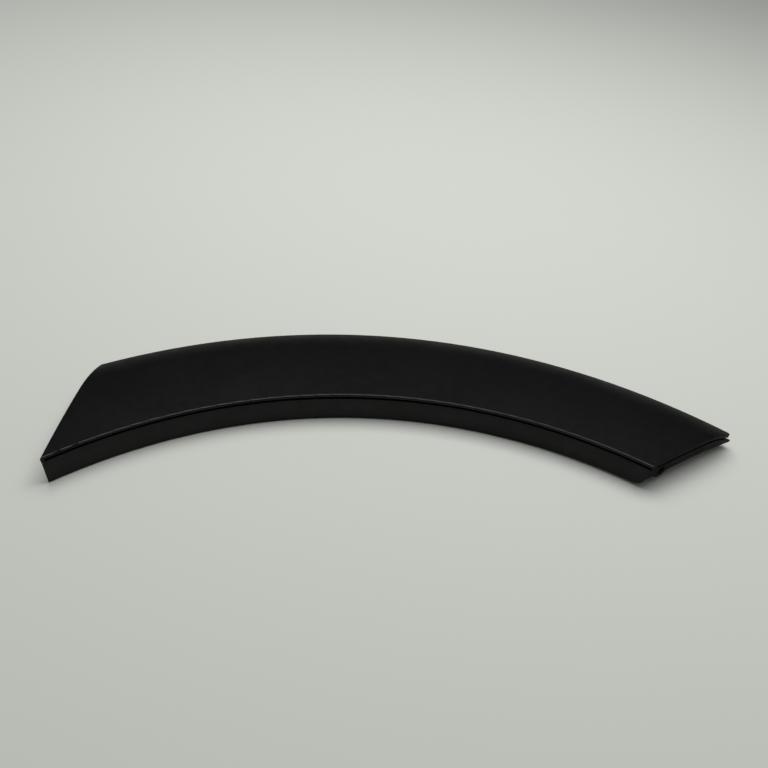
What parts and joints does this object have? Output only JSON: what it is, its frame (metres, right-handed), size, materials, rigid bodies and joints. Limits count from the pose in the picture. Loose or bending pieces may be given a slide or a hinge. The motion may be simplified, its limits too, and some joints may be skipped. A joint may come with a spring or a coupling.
{
  "type": "wheel arch trim",
  "caption": "Curved black plastic wheel arch trim with a return lip, a beaded edge over a shadow groove, and an oblique ledged joint end.",
  "frame": {"origin": "centre of the bounding box in X and Y, at the level of the lip's free edge, on which the trim lies face up", "axes": "+X along the trim from its left end to its joint end, square to the line from the wheel's centre to the arch's top; +Y away from the wheel opening; +Z out through the face"},
  "size_m": [0.4637, 0.1662, 0.0216],
  "materials": {
    "trim_plastic": "matt and fine grained, black all through"
  },
  "bodies": {
    "root": {"arch_trim": "trim_plastic"}
  },
  "joints": []
}
